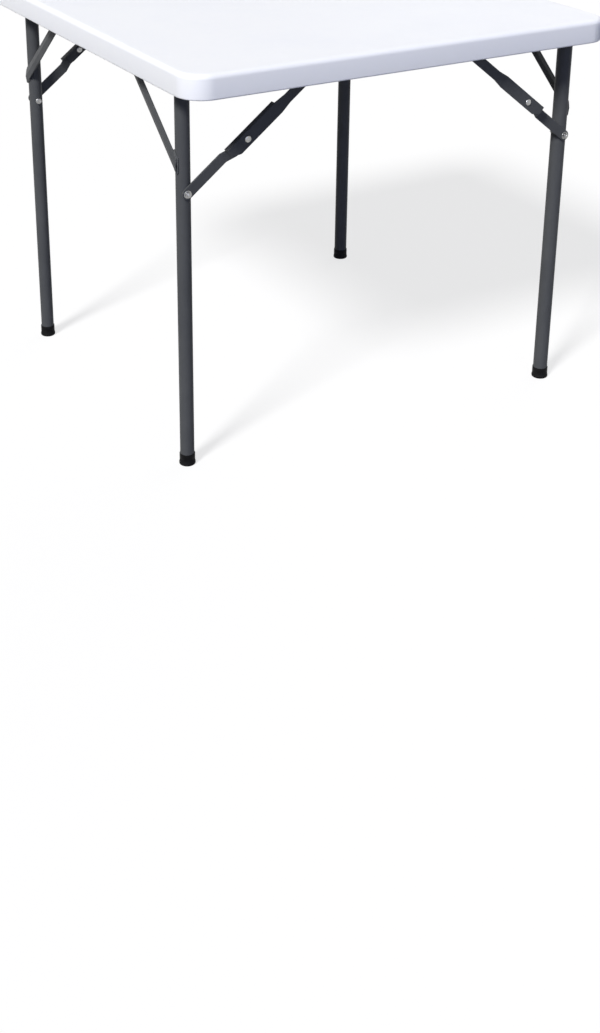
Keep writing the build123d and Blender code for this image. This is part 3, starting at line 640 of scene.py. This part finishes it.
# Finishes: colours are linear, and grain and handling scales are in features to a metre
finishes = {
    "tabletopPlastic": {
        "colour": (0.840, 0.855, 0.890), "shade": (0.815, 0.832, 0.875),
        "rubbed": (0.845, 0.858, 0.885), "worn": (0.88, 0.885, 0.90), "wear": 0.3,
        "roughness": (0.46, 0.56), "specular": 0.35, "metallic": 0, "grainScale": 1300,
        "cells": 0.7, "bumpDepth": 0.00009, "handlingScale": 5, "streaks": (1, 1, 1),
    },
    "powderCoat": {
        "colour": (0.066, 0.069, 0.073), "shade": (0.056, 0.059, 0.063),
        "rubbed": (0.076, 0.079, 0.083), "worn": (0.24, 0.24, 0.24), "wear": 0.4,
        "roughness": (0.42, 0.52), "specular": 0.1, "metallic": 0, "grainScale": 1000,
        "cells": 0.25, "bumpDepth": 0.00009, "handlingScale": 9, "streaks": (1, 1, 0.2),
    },
    "zincPlate": {
        "colour": (0.33, 0.335, 0.34), "shade": (0.24, 0.24, 0.24),
        "rubbed": (0.42, 0.415, 0.40), "worn": (0.80, 0.80, 0.80), "wear": 0.4,
        "roughness": (0.22, 0.36), "specular": 0.5, "metallic": 1, "grainScale": 2500,
        "cells": 0.5, "bumpDepth": 0.00003, "handlingScale": 120, "streaks": (1, 1, 1),
    },
    "capRubber": {
        "colour": (0.006, 0.006, 0.0065), "shade": (0.004, 0.004, 0.0045),
        "rubbed": (0.012, 0.012, 0.0125), "worn": (0.03, 0.03, 0.03), "wear": 0.5,
        "roughness": (0.42, 0.6), "specular": 0.05, "metallic": 0, "grainScale": 2000,
        "cells": 0.5, "bumpDepth": 0.00006, "handlingScale": 60, "streaks": (1, 1, 0.3),
    },
    "clipNylon": {
        "colour": (0.030, 0.031, 0.035), "shade": (0.022, 0.023, 0.026),
        "rubbed": (0.050, 0.050, 0.053), "worn": (0.10, 0.10, 0.10), "wear": 0.4,
        "roughness": (0.42, 0.58), "specular": 0.5, "metallic": 0, "grainScale": 2200,
        "cells": 0.4, "bumpDepth": 0.00005, "handlingScale": 70, "streaks": (1, 1, 1),
    },
}


def makeFinish(name, f):
    material = bpy.data.materials.new(name)
    material.use_nodes = True
    tree = material.node_tree
    place = addNode(tree, "ShaderNodeTexCoord").outputs["Object"]
    grain = addNode(tree, "ShaderNodeGroup", {
        "Vector": place, "Scale": f["grainScale"], "Cells": f["cells"]}, node_tree=grainGroup)
    handled = addNode(tree, "ShaderNodeGroup", {
        "Vector": place, "Scale": f["handlingScale"], "Streaks": f["streaks"],
    }, node_tree=handlingGroup).outputs["Mask"]
    edges = addNode(tree, "ShaderNodeGroup", {
        "Vector": place, "Amount": f["wear"]}, node_tree=edgeWearGroup)
    colour = (*f["colour"], 1)
    for share, tone in ((grain.outputs["Tone"], "shade"), (handled, "rubbed"),
                        (edges.outputs["Mask"], "worn")):
        colour = mixed(tree, "RGBA", share, colour, (*f[tone], 1))
    low, high = f["roughness"]
    bump = addNode(tree, "ShaderNodeBump", {
        "Height": grain.outputs["Height"], "Strength": 1, "Distance": f["bumpDepth"],
        "Normal": edges.outputs["Normal"]})
    setInputs(tree, tree.nodes["Principled BSDF"], {
        "Base Color": colour, "Roughness": remap(tree, handled, 0, 1, high, low),
        "Normal": bump.outputs[0], "Metallic": f["metallic"],
        "Specular IOR Level": f["specular"]})
    return material


finish = {name: makeFinish(name, values) for name, values in finishes.items()}
slotFinish = {
    "top_plastic": "tabletopPlastic", "frame_paint": "powderCoat", "zinc_steel": "zincPlate",
    "foot_rubber": "capRubber", "clip_plastic": "clipNylon",
}


def dressNodes(record):
    for part in record["subparts"]:
        mesh = nodes[part["node"]].data
        mesh.materials.clear()
        mesh.materials.append(finish[slotFinish[part["material_slot"]]])


dressNodes(frame["record"])
print("finishes made,", len(finish))

tabletop = makeTabletop(tabletopSizes, mouldedPockets, finish["tabletopPlastic"])
print("tabletop made,", len(tabletop.data.polygons), "faces")


# Fittings: turned shapes set out by one tree, each along its own aim
def makeTurned(name, profile, segments=48, acrossFlats=0):
    # Turns (radius, height) pairs about Z; a third value trims that ring to a hexagon
    bm = bmesh.new()
    rings = []
    for radius, height, *flat in profile:
        ring = []
        for i in range(segments if radius else 1):
            angle = 2 * math.pi * i / segments
            fold = (angle + math.pi / 6) % (math.pi / 3) - math.pi / 6
            reach = min(radius, acrossFlats / 2 / math.cos(fold)) if flat else radius
            ring.append(bm.verts.new((reach * math.cos(angle), reach * math.sin(angle), height)))
        rings.append(ring)
    for lower, upper in zip(rings, rings[1:]):
        if len(lower) == len(upper):
            bridge(bm, lower, upper)
            continue
        tip, rim = (lower[0], upper) if len(lower) == 1 else (upper[0], lower)
        for i in range(segments):
            bm.faces.new((tip, rim[i], rim[(i + 1) % segments]))
    return objectFromBm(name, bm)


def makeFittingTree():
    # One fitting on every point, along the point's aim and turned about it at random
    tree, given, out = makeTree("placedFittings", "GeometryNodeTree", [
        ("Geometry", "Geometry"), ("Fitting", "Object"), ("Most Turn", "Float"),
        ("Seed", "Int"), ("Material", "Material"),
    ], [("Geometry", "Geometry")])
    aim = addNode(tree, "GeometryNodeInputNamedAttribute", {"Name": "aim"},
                  data_type="FLOAT_VECTOR")
    facing = addNode(tree, "FunctionNodeAlignRotationToVector", {"Vector": aim.outputs[0]},
                     axis="Z")
    angle = addNode(tree, "FunctionNodeRandomValue", {
        3: given["Most Turn"], "Seed": given["Seed"]}, data_type="FLOAT")
    turn = addNode(tree, "FunctionNodeAxisAngleToRotation", {
        "Axis": (0, 0, 1), "Angle": angle.outputs[1]})
    turned = addNode(tree, "FunctionNodeRotateRotation", {
        "Rotation": facing.outputs[0], "Rotate By": turn.outputs[0]}, rotation_space="LOCAL")
    fitting = addNode(tree, "GeometryNodeObjectInfo", {"Object": given["Fitting"]})
    many = addNode(tree, "GeometryNodeInstanceOnPoints", {
        "Points": given["Geometry"], "Instance": fitting.outputs["Geometry"],
        "Rotation": turned.outputs[0]})
    endTree(tree, out, realMesh(tree, many), given["Material"])
    return tree


def makeBeadTree():
    # Overlapping drops along every path of the mesh that carries the modifier
    tree, given, out = makeTree("weldBeads", "GeometryNodeTree", [
        ("Geometry", "Geometry"), ("Drop Radius", "Float"), ("Spacing", "Float"),
        ("Flatness", "Float"), ("Least Size", "Float"), ("Most Size", "Float"),
        ("Seed", "Int"), ("Material", "Material"),
    ], [("Geometry", "Geometry")])
    path = addNode(tree, "GeometryNodeMeshToCurve", {0: given["Geometry"]})
    steps = addNode(tree, "GeometryNodeResampleCurve", {
        "Curve": path.outputs[0], "Length": given["Spacing"]}, mode="LENGTH")
    tangent = addNode(tree, "GeometryNodeInputTangent").outputs[0]
    along = addNode(tree, "FunctionNodeAlignRotationToVector", {"Vector": tangent}, axis="Z")
    drop = addNode(tree, "GeometryNodeMeshUVSphere", {
        "Segments": 10, "Rings": 6, "Radius": given["Drop Radius"]})
    flat = addNode(tree, "ShaderNodeCombineXYZ", {"X": 1, "Y": 1, "Z": given["Flatness"]})
    squashed = addNode(tree, "GeometryNodeTransform", {
        "Geometry": drop.outputs[0], "Scale": flat.outputs[0]})
    size = addNode(tree, "FunctionNodeRandomValue", {
        2: given["Least Size"], 3: given["Most Size"], "Seed": given["Seed"]},
        data_type="FLOAT")
    many = addNode(tree, "GeometryNodeInstanceOnPoints", {
        "Points": steps.outputs[0], "Instance": squashed.outputs[0],
        "Rotation": along.outputs[0], "Scale": size.outputs[1]})
    endTree(tree, out, realMesh(tree, many), given["Material"])
    return tree


fittingTree = makeFittingTree()
beadTree = makeBeadTree()
legSets = ("narrow", "wide")
ends = {"front": -1, "back": 1}  # and the side of Y that each lies on
sides = tuple(ends.values())

# In metres, heights from the seat outwards; the seeds set the random turns about the aim
fittingSizes = {
    "pivotRadius": 0.006, "pivotRise": 0.0022, "shank": 0.003,
    "pinLength": {"narrow": 0.009, "wide": 0.0121}, "spacer": (0.0055, 0.0026, 0.0062),
    "rivetRadius": 0.0036, "rivetRise": 0.0014, "rivetShank": 0.002, "rivetGrip": 0.0035,
    "acrossFlats": 0.010, "chamfer": 0.0006, "arris": 0.0001,
    "hexagonShares": (0.47, 0.48, 0.5, 0.58),  # of its width: top, face, flats and corners
    "washerRadius": 0.0068, "washerHeight": 0.0010, "nutHeight": 0.005, "nutLead": 0.0004,
    "washerEdge": (0.97, 0.8), "tipEdge": 0.8,  # shares of radius and height left by rounding
    "boltEnd": 0.0014, "tipCrown": 0.0002, "threadPitch": 0.0005, "threadDepth": 0.0003,
    "headCollar": ((0.0054, -0.0012), (0.0056, 0.0003)), "headFace": 0.0004,
    "headHeight": 0.004, "dishDepth": 0.0003, "dishRadii": (0.003, 0.0027),
    "screwRadius": 0.0042, "screwRise": 0.0024, "screwShank": 0.0022, "screwReach": 0.0125,
    "screwTip": 0.002, "screwSegments": 36, "sunkRadius": 0.00395, "sunkRim": 0.0002,
    "recessReach": 0.0021, "recessHalf": 0.00045, "recessDepth": 0.0015,
    "recessDraft": 0.00025, "recessOverrun": 0.0005, "sharpAngle": 35,
    "railScrewSeed": 3, "clipScrewSeed": 5, "boltSeed": 7, "nutSeed": 11,
}


def domeRings(radius, rise, seat, side):
    # A low dome with a turned dimple at its middle, from its edge to its centre
    steps = [(1, 0), (1, 0.28), (0.965, 0.5), (0.89, 0.7), (0.76, 0.87), (0.58, 0.97), (0.38, 1),
             (0.24, 0.98), (0.19, 0.86), (0, 0.8)]
    return [(radius * r, seat + side * rise * h) for r, h in steps]


def makeRivet(name, radius, rise, shank, grip, spacer=None):
    # Heads beyond 0 and grip; a spacer is its (radius, start, stop) on the shank
    middle = [(shank, 0), (shank, grip)]
    if spacer:
        wide, start, stop = spacer
        middle[1:1] = [(shank, start), (wide, start), (wide, stop), (shank, stop)]
    outer, inner = domeRings(radius, rise, grip, 1), domeRings(radius, rise, 0, -1)
    return makeTurned(name, inner[::-1] + middle + outer)


def hexagonRadii(f):
    return [share * f["acrossFlats"] for share in f["hexagonShares"]]


def makeNut(name, f):
    shank, washer, low, high = f["shank"], f["washerRadius"], f["washerHeight"], f["nutHeight"]
    top, face, flat, corner = hexagonRadii(f)
    inner, lower = f["washerEdge"]
    profile = [(0, -shank), (shank, -shank), (shank, 0), (washer, 0), (washer, lower * low),
               (inner * washer, low), (face, low), (flat, low + f["arris"], True),
               (corner, low + f["chamfer"], True), (corner, high - f["chamfer"], True),
               (flat, high - f["arris"], True), (top, high), (shank + f["chamfer"], high),
               (shank, high - f["nutLead"])]
    turns = int(f["boltEnd"] / f["threadPitch"]) * 2
    for i in range(turns + 1):
        profile.append((shank - f["threadDepth"] * (i % 2), high + i * f["threadPitch"] / 2))
    tip = high + f["boltEnd"]
    profile += [(f["tipEdge"] * shank, tip), (0, tip + f["tipCrown"])]
    return makeTurned(name, profile, acrossFlats=f["acrossFlats"])


def makeBolt(name, f, reach):
    # A hexagon head with a washer face, and a shank that runs back through the leg
    shank, collar, low, high = f["shank"], f["headCollar"], f["headFace"], f["headHeight"]
    dish, (dishTop, dishFloor) = f["dishDepth"], f["dishRadii"]
    top, face, flat, corner = hexagonRadii(f)
    profile = [(0, -reach), (shank, -reach), (shank, collar[0][1]), *collar, (face, low),
               (corner, low + dish, True), (corner, high - f["chamfer"], True),
               (flat, high - f["arris"], True), (top, high), (dishTop, high),
               (dishFloor, high - dish), (0, high - dish)]
    return makeTurned(name, profile, acrossFlats=f["acrossFlats"])


def makeScrew(name, f, sunk):
    # Driven along Z, with its face at 0 and a cross recess in it
    reach, shank = f["screwReach"], f["screwShank"]
    if sunk:
        wide, rim = f["sunkRadius"], f["sunkRim"]
        head = [(0, 0), (wide - rim, 0), (wide, rim), (shank, rim + wide - shank)]
    else:
        wide, high = f["screwRadius"], f["screwRise"]
        steps = [(0.4, 0.99), (0.62, 0.93), (0.82, 0.78), (0.94, 0.55), (1, 0.25), (1, 0)]
        head = [(0, 0)] + [(wide * r, high * (1 - h)) for r, h in steps] + [(shank, high)]
    tip = [(shank, reach - f["screwTip"]), (0, reach)]
    screw = makeTurned(name, head + tip, f["screwSegments"])
    r, h = f["recessReach"], f["recessHalf"]
    cross = [(-h, -r), (h, -r), (h, -h), (r, -h), (r, h), (h, h), (h, r), (-h, r), (-h, h),
             (-r, h), (-r, -h), (-h, -h)]
    recess = makeCutter("recess_cutter", cross, f["recessDepth"], 0, f["recessDraft"],
                        f["recessOverrun"])
    addTreeModifier(screw, pocketTree, {"Cutter": recess})
    cut = settleMesh(screw, name)
    bpy.data.objects.remove(recess)
    return cut


def placeFittings(name, fitting, places, node, body, seed=0):
    # places are (point, aim) pairs; a seed turns each fitting about its aim at random
    mesh = bpy.data.meshes.new(name + "_places")
    mesh.from_pydata([point for point, aim in places], [], [])
    aims = mesh.attributes.new("aim", "FLOAT_VECTOR", "POINT")
    for i, (point, aim) in enumerate(places):
        aims.data[i].vector = aim
    holder = makeObject(name + "_places", mesh)
    addTreeModifier(holder, fittingTree, {
        "Fitting": fitting, "Most Turn": math.pi if seed else 0, "Seed": seed,
        "Material": finish["zincPlate"]})
    piece = settleMesh(holder, name)
    bpy.data.objects.remove(fitting)
    smoothFaces(piece, fittingSizes["sharpAngle"])
    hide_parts(node)
    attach(piece, body)


def nodeCentre(name):
    low, high = (Vector(corner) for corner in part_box(name))
    return (low + high) / 2, low, high


def placeScrews(f, p):
    # Rail and clip screws, driven up into the plastic
    up = (0, 0, 1)
    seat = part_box("rail_screws")[0][2]
    places = [((signX * x, signY * p["screwY"], seat), up)
              for x in p["screwX"] for signX in sides for signY in sides]
    placeFittings("rail_screw_heads", makeScrew("rail_screw", f, False), places,
                  "rail_screws", "tabletop", f["railScrewSeed"])
    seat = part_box("clip_screws")[0][2]
    places = [((p["clipX"], side * p["clipY"], seat), up) for side in sides]
    placeFittings("clip_screw_heads", makeScrew("clip_screw", f, True), places,
                  "clip_screws", "tabletop", f["clipScrewSeed"])


def placeRivets(f):
    # Rivets through the rail webs and at the fixed pivots, laid out from their CAD boxes
    middle, low, high = nodeCentre("bracket_rivets")
    rise, radius, grip = f["rivetRise"], f["rivetRadius"], f["rivetGrip"]
    places = [((x, side * (high.y - rise - grip), middle.z), (0, side, 0))
              for side in sides for x in (low.x + radius, high.x - radius)]
    placeFittings("bracket_rivet_heads",
                  makeRivet("bracket_rivet", radius, rise, f["rivetShank"], grip),
                  places, "bracket_rivets", "tabletop")
    rise, radius = f["pivotRise"], f["pivotRadius"]
    for legSet in legSets:
        middle, low, high = nodeCentre(legSet + "_pivot_rivets")
        grip = f["pinLength"][legSet] - 2 * rise
        spacer = f["spacer"] if legSet == "wide" else None
        places = [((middle.x, side * (high.y - rise - grip), middle.z), (0, side, 0))
                  for side in sides]
        placeFittings(legSet + "_pivot_pins",
                      makeRivet("pivot_pin", radius, rise, f["shank"], grip, spacer),
                      places, legSet + "_pivot_rivets", "tabletop")


def placeLegFittings(f, legSet):
    # Bolts through the legs, with a nut on each brace, and the rivets of the knees
    node = legSet + "_leg_bolts"
    middle, low, high = nodeCentre(node)
    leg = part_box(legSet + "_leg_back")
    places = [((middle.x, side * leg[0][1], middle.z), (0, -side, 0)) for side in sides]
    placeFittings(legSet + "_bolt_heads", makeBolt("leg_bolt", f, leg[1][1] - leg[0][1]),
                  places, node, legSet + "_legs", f["boltSeed"])
    for end, side in ends.items():
        node = f"{legSet}_brace_nut_{end}"
        middle, low, high = nodeCentre(node)
        seat = max(abs(low.y), abs(high.y)) - f["nutHeight"]
        placeFittings(f"{legSet}_lock_nut_{end}", makeNut("lock_nut", f),
                      [((middle.x, side * seat, middle.z), (0, side, 0))], node,
                      f"{legSet}_lower_{end}", f["nutSeed"] + side)
        node = f"{legSet}_knee_rivet_{end}"
        middle, low, high = nodeCentre(node)
        rise, radius = f["pivotRise"], f["pivotRadius"]
        grip = abs(high.y - low.y) - 2 * rise
        seat = max(abs(low.y), abs(high.y)) - rise - grip
        placeFittings(f"{legSet}_knee_pin_{end}",
                      makeRivet("knee_pin", radius, rise, f["shank"], grip),
                      [((middle.x, side * seat, middle.z), (0, side, 0))], node,
                      f"{legSet}_upper_{end}")


placeScrews(fittingSizes, mouldedPockets)
placeRivets(fittingSizes)
for legSet in legSets:
    placeLegFittings(fittingSizes, legSet)
print("fittings made")


# Foot caps: turned rubber boots with a rolled mouth and a rounded tread
bootSizes = {
    "wall": 0.0012, "flare": 0.0008, "flareHeight": 0.006, "height": 0.022, "floor": 0.003,
    "gap": 0.00005, "hollow": 0.0008, "hollowShares": (0.62, 0.68), "segments": 64,
    "grooves": (0.0098, 0.0124), "grooveDepth": 0.0003, "grooveHalf": 0.0005, "grooveFloor": 0.4,
    # Pairs of inset and height: the tread, then both sides of the step, then the mouth
    "tread": ((0.0026, 0), (0.0013, 0.0003), (0.0004, 0.0011), (0, 0.0022)),
    "stepBelow": ((0, -0.0011), (0.0002, -0.0004)), "stepAbove": ((-0.0001, 0.0002), (0, 0.0008)),
    "mouthOutside": ((0, -0.0008), (0.0003, -0.0001), (0.0007, 0)),
    "mouthInside": (-0.0003, -0.0002), "sharpAngle": 50,
}


def makeBoot(legSet, end, b):
    node = f"{legSet}_foot_cap_{end}"
    middle, low, high = nodeCentre(node)
    foot = (high.x - low.x) / 2
    side, inner = foot - b["flare"], foot - b["flare"] - b["wall"]
    deep, rim, step, top = side - b["grooveDepth"], inner + b["gap"], b["flareHeight"], b["height"]
    start, stop = b["hollowShares"]

    def outside(reach, level, pairs):
        return [(reach - inset, level + height) for inset, height in pairs]

    profile = [(0, b["hollow"]), (start * inner, b["hollow"]), (stop * inner, 0)]
    profile += outside(foot, 0, b["tread"]) + outside(foot, step, b["stepBelow"])
    profile += outside(side, step, b["stepAbove"])
    for groove in b["grooves"]:
        half, flat = b["grooveHalf"], b["grooveFloor"] * b["grooveHalf"]
        profile += [(side, groove - half), (deep, groove - flat), (deep, groove + flat),
                    (side, groove + half)]
    profile += outside(side, top, b["mouthOutside"]) + outside(inner, top, [b["mouthInside"]])
    profile += [(rim, top + b["mouthOutside"][0][1]), (rim, b["floor"]), (0, b["floor"])]
    boot = makeTurned(f"{legSet}_boot_{end}", profile, b["segments"])
    boot.data.transform(Matrix.Translation((middle.x, middle.y, low.z)))
    smoothFaces(boot, b["sharpAngle"])
    boot.data.materials.append(finish["capRubber"])
    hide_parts(node)
    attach(boot, legSet + "_legs")


for legSet in legSets:
    for end in ends:
        makeBoot(legSet, end, bootSizes)
print("foot caps made")


# Welds: beads round the tops of the legs and round both ends of each gusset
weldSizes = {
    "dropRadius": 0.0018, "spacing": 0.0011, "flatness": 0.8, "leastSize": 0.84, "mostSize": 1.1,
    "gussetRun": 0.172, "gussetDrop": 0.148, "strapHalf": 0.0106, "trim": 0.0056,
    "tipRise": 0.0028, "lift": 0.0006, "sink": 0.0004, "stepAngle": 10,
    # Stations on one edge of the strap, across its trimmed end, and on the other edge
    "legEnd": ((0.018, 0.012, 0.006), (0.0085, 0.001, -0.008, -0.0165), (-0.013, -0.007, -0.001)),
    "tubeEnd": ((-0.021, -0.016, -0.0105), (0.0120, 0.002, -0.008, -0.0168),
                (0.0135, 0.008, 0.002)),
    "seeds": {"narrow": 21, "wide": 22},
}


def weldPaths(legSet, w):
    tubeLow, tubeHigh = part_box(legSet + "_cross_tube")
    axisX, hinge = (tubeLow[0] + tubeHigh[0]) / 2, (tubeLow[2] + tubeHigh[2]) / 2
    tube = (tubeHigh[2] - tubeLow[2]) / 2
    legMiddle, legLow, legHigh = nodeCentre(legSet + "_leg_back")
    leg, legY = (legHigh.x - legLow.x) / 2, legMiddle.y
    side = -1 if axisX < 0 else 1
    run, drop, half = w["gussetRun"], w["gussetDrop"], w["strapHalf"]
    length = math.hypot(run, drop)
    alongY, alongZ = -run / length, drop / length
    gussetEnds = ((w["legEnd"], legY, -drop, leg), (w["tubeEnd"], legY - run, 0, tube))
    paths = []
    for out in sides:
        joint = []
        for angle in [math.radians(a) for a in range(0, 360, w["stepAngle"])]:
            x, y = leg * math.cos(angle), leg * math.sin(angle)
            z = -math.sqrt(max(tube ** 2 - x ** 2, 0))
            joint.append((axisX + x, out * legY + y, hinge + z - w["sink"]))
        paths.append(joint + joint[:1])
        for stations, centreY, centreZ, radius in gussetEnds:
            onLeg = stations is w["legEnd"]
            upper, trimmed, lower = stations
            points = [(alongY * s + alongZ * half, alongZ * s - alongY * half) for s in upper]
            points += [(w["trim"], at) if onLeg else (at, w["tipRise"]) for at in trimmed]
            points += [(alongY * s - alongZ * half, alongZ * s + alongY * half) for s in lower]
            path = []
            for y, z in points:  # dropped onto the tube beneath the strap
                beside = y if onLeg else z
                reach = math.sqrt(max(radius ** 2 - beside ** 2, 0)) + w["lift"]
                path.append((axisX + side * reach, out * (centreY + y), hinge + centreZ + z))
            paths.append(path)
    return paths


def makeWelds(legSet, w):
    verts, edges = [], []
    for path in weldPaths(legSet, w):
        edges += [(len(verts) + i, len(verts) + i + 1) for i in range(len(path) - 1)]
        verts += path
    name = legSet + "_weld_beads"
    mesh = bpy.data.meshes.new(name)
    mesh.from_pydata(verts, edges, [])
    holder = makeObject(name + "_path", mesh)
    addTreeModifier(holder, beadTree, {
        "Drop Radius": w["dropRadius"], "Spacing": w["spacing"], "Flatness": w["flatness"],
        "Least Size": w["leastSize"], "Most Size": w["mostSize"], "Seed": w["seeds"][legSet],
        "Material": finish["powderCoat"]})
    piece = settleMesh(holder, name)
    piece.data.shade_smooth()
    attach(piece, legSet + "_legs")
    return piece


for legSet in legSets:
    beads = makeWelds(legSet, weldSizes)
    print(beads.name, len(beads.data.polygons), "faces")
